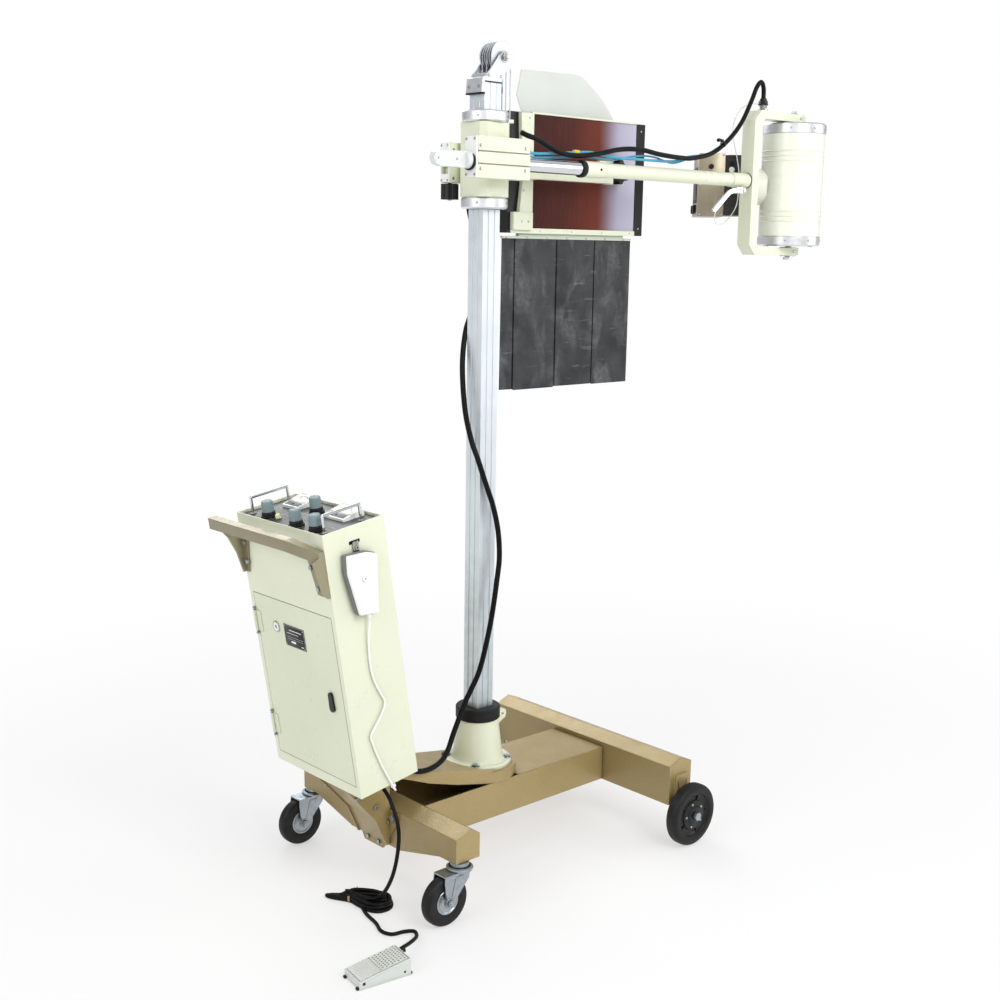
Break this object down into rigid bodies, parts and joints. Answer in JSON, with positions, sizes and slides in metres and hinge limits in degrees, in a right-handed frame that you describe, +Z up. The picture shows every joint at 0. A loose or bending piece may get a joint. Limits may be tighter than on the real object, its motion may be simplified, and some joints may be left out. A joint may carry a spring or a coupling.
{
  "type": "mobile column x-ray unit",
  "caption": "Mobile X-ray stand: tube head on a counterweighted column, fluoroscopy screen with apron, tilted control cabinet, wheeled base.",
  "frame": {"origin": "on the floor, at the centre of the whole unit's bounding box seen from above; the swivelling column's axis is at x = -0.266, y = +0.007", "axes": "+Z up; +X from the control cabinet towards the tube head, along the arm; +Y to the screen side"},
  "size_m": [1.936, 0.8519, 2.083],
  "materials": {
    "bronze_paint": "golden-brown hammer-finish enamel",
    "cream_paint": "cream enamel, semi-gloss",
    "column_aluminium": "clear anodised extrusion",
    "bright_metal": "chrome plate",
    "zinc_steel": "zinc-plated steel",
    "cast_alloy": "polished cast alloy",
    "black_rubber": "matte black rubber",
    "black_tyre": "solid rubber tyre",
    "black_plastic": "black moulded plastic",
    "panel_grey": "dark grey-green panel",
    "meter_white": "white meter case",
    "knob_grey": "grey-blue fluted plastic",
    "handset_white": "white moulded plastic",
    "iron_core": "varnished laminations",
    "switch_enamel": "light grey-green enamel",
    "rope_blue": "blue-sheathed steel rope",
    "dark_steel": "dark steel bar",
    "handle_white": "white enamel",
    "tube_glass": "clear glass",
    "limiter_brown": "brown-grey painted lead-lined sheet",
    "panel_mahogany": "glossy red-brown laminate",
    "clear_sheet": "translucent white sheet",
    "lead_rubber": "dark grey lead rubber, creased"
  },
  "bodies": {
    "base": {"main_beam": "bronze_paint", "rear_crossbeam": "bronze_paint", "front_crossbeam": "bronze_paint", "cabinet_bracket": "bronze_paint", "base_bolts": "zinc_steel", "wheel_studs": "zinc_steel", "column_seat": "cream_paint", "cabinet_shell": "cream_paint", "control_panel": "panel_grey", "panel_handles": "bright_metal", "panel_meters": "meter_white", "push_handle": "bronze_paint", "transformer": "iron_core", "foot_switch_base": "switch_enamel", "base_cables": "black_rubber"},
    "column": {"column_post": "column_aluminium", "column_collar": "black_plastic", "pulley_bracket": "cast_alloy", "hoist_ropes": "rope_blue"},
    "pulley": {"rope_pulley": "cast_alloy"},
    "weight": {"counterweight": "dark_steel"},
    "carriage": {"carriage_sleeve": "cream_paint", "carriage_rings": "cast_alloy", "arm_block": "cream_paint", "screen_block": "cream_paint", "block_end_plates": "cast_alloy", "column_cable": "black_rubber"},
    "bar_knob": {"screen_clamp_knob": "black_plastic"},
    "arm": {"arm_rod": "bright_metal", "arm_handle": "handle_white", "arm_tube": "cream_paint", "arm_cable": "black_rubber"},
    "lever": {"clamp_lever": "bright_metal"},
    "yoke_arm": {"yoke": "cream_paint", "cable_gland": "bright_metal"},
    "head": {"tube_housing": "cream_paint", "end_caps": "cast_alloy", "xray_insert": "tube_glass", "beam_limiter": "limiter_brown"},
    "screen": {"screen_bar": "cream_paint", "screen_rails": "black_plastic", "screen_panel": "panel_mahogany", "chin_plate": "clear_sheet", "lead_apron": "lead_rubber"},
    "star_knob": {"screen_knob": "black_plastic"},
    "fork_left": {"caster_fork_left": "zinc_steel"},
    "fork_right": {"caster_fork_right": "zinc_steel"},
    "roller_left": {"caster_wheel_left": "black_tyre"},
    "roller_right": {"caster_wheel_right": "black_tyre"},
    "wheel_left": {"rear_wheel_left": "black_tyre"},
    "wheel_right": {"rear_wheel_right": "black_tyre"},
    "door": {"cabinet_door": "cream_paint"},
    "latch": {"door_latch": "black_plastic"},
    "dial_1": {"knob_1": "knob_grey"},
    "dial_2": {"knob_2": "knob_grey"},
    "dial_3": {"knob_3": "knob_grey"},
    "dial_4": {"knob_4": "knob_grey"},
    "pedal": {"foot_pedal": "switch_enamel"},
    "hand_switch": {"handset": "handset_white"},
    "button": {"exposure_button": "knob_grey"}
  },
  "joints": [
    {"name": "column_swivel", "type": "hinge", "parent": "base", "child": "column", "pos_m": [-0.266, 0.007, 0.3], "axis": [0, 0, 1], "range_deg": [-90, 90], "deforming": ["base_cables"]},
    {"name": "carriage_slide", "type": "slide", "parent": "column", "child": "carriage", "axis": [0, 0, 1], "range_m": [-0.9, 0.03], "deforming": ["hoist_ropes", "column_cable"]},
    {"name": "weight_slide", "type": "slide", "parent": "column", "child": "weight", "axis": [0, 0, 1], "range_m": [-0.03, 0.9]},
    {"name": "pulley_spin", "type": "hinge", "parent": "column", "child": "pulley", "pos_m": [-0.231, 0.007, 2.046], "axis": [0, 1, 0], "range_deg": [-54.21, 1611.94]},
    {"name": "screen_clamp_turn", "type": "hinge", "parent": "carriage", "child": "bar_knob", "pos_m": [-0.322, 0.074, 1.725], "axis": [0, 0, 1], "range_deg": [-180, 180]},
    {"name": "arm_slide", "type": "slide", "parent": "carriage", "child": "arm", "axis": [1, 0, 0], "range_m": [-0.15, 0], "deforming": ["arm_cable"]},
    {"name": "screen_slide", "type": "slide", "parent": "carriage", "child": "screen", "axis": [1, 0, 0], "range_m": [-0.12, 0.02]},
    {"name": "screen_knob_turn", "type": "hinge", "parent": "screen", "child": "star_knob", "pos_m": [0.296, 0.079, 1.801], "axis": [0, 1, 0], "range_deg": [-180, 180]},
    {"name": "clamp_lever_turn", "type": "hinge", "parent": "arm", "child": "lever", "pos_m": [0.622, -0.085, 1.761], "axis": [0, 1, 0], "range_deg": [-30, 15]},
    {"name": "yoke_roll", "type": "hinge", "parent": "arm", "child": "yoke_arm", "pos_m": [0.634, -0.085, 1.79], "axis": [1, 0, 0], "range_deg": [-90, 90], "deforming": ["arm_cable"]},
    {"name": "head_tilt", "type": "hinge", "parent": "yoke_arm", "child": "head", "pos_m": [0.876, -0.085, 1.79], "axis": [0, 0, 1], "range_deg": [-135, 8]},
    {"name": "caster_left_swivel", "type": "hinge", "parent": "base", "child": "fork_left", "pos_m": [-0.588, 0.31, 0.13], "axis": [0, 0, 1], "continuous": true},
    {"name": "caster_right_swivel", "type": "hinge", "parent": "base", "child": "fork_right", "pos_m": [-0.588, -0.296, 0.13], "axis": [0, 0, 1], "continuous": true},
    {"name": "caster_left_roll", "type": "hinge", "parent": "fork_left", "child": "roller_left", "pos_m": [-0.636, 0.31, 0.063], "axis": [0, 1, 0], "continuous": true},
    {"name": "caster_right_roll", "type": "hinge", "parent": "fork_right", "child": "roller_right", "pos_m": [-0.636, -0.296, 0.063], "axis": [0, 1, 0], "continuous": true},
    {"name": "rear_left_roll", "type": "hinge", "parent": "base", "child": "wheel_left", "pos_m": [0.168, 0.397, 0.086], "axis": [0, 1, 0], "continuous": true},
    {"name": "rear_right_roll", "type": "hinge", "parent": "base", "child": "wheel_right", "pos_m": [0.168, -0.383, 0.086], "axis": [0, 1, 0], "continuous": true},
    {"name": "door_hinge", "type": "hinge", "parent": "base", "child": "door", "pos_m": [-0.82582, 0.1705, 0.55344], "axis": [-0.1599, 0, 0.9871], "range_deg": [-110, 0]},
    {"name": "door_latch_turn", "type": "hinge", "parent": "door", "child": "latch", "pos_m": [-0.82399, -0.108, 0.54968], "axis": [0.9871, 0, 0.1599], "range_deg": [-90, 0]},
    {"name": "knob_1_turn", "type": "hinge", "parent": "base", "child": "dial_1", "pos_m": [-0.85563, 0.092, 0.96396], "axis": [-0.1599, 0, 0.9871], "range_deg": [-150, 150]},
    {"name": "knob_2_turn", "type": "hinge", "parent": "base", "child": "dial_2", "pos_m": [-0.86057, -0.03, 0.96315], "axis": [-0.1599, 0, 0.9871], "range_deg": [-150, 150]},
    {"name": "knob_3_turn", "type": "hinge", "parent": "base", "child": "dial_3", "pos_m": [-0.77666, 0.011, 0.97674], "axis": [-0.1599, 0, 0.9871], "range_deg": [-150, 150]},
    {"name": "knob_4_turn", "type": "hinge", "parent": "base", "child": "dial_4", "pos_m": [-0.85958, -0.107, 0.96332], "axis": [-0.1599, 0, 0.9871], "range_deg": [-150, 150]},
    {"name": "pedal_press", "type": "hinge", "parent": "base", "child": "pedal", "pos_m": [-0.95129, -0.37193, 0.013], "axis": [0.1564, 0.9877, 0], "range_deg": [0, 5], "stiffness_Nm_per_rad": 4},
    {"name": "handset_lift", "type": "slide", "parent": "base", "child": "hand_switch", "axis": [0, -1, 0], "range_m": [0, 0.06]},
    {"name": "exposure_press", "type": "slide", "parent": "hand_switch", "child": "button", "axis": [0, 1, 0], "range_m": [0, 0.0018], "stiffness_N_per_m": 400}
  ],
  "couplings": [
    {"joint": "weight_slide", "follows": "carriage_slide", "ratio": -1},
    {"joint": "pulley_spin", "follows": "carriage_slide", "rad_per_m": -31.25}
  ]
}
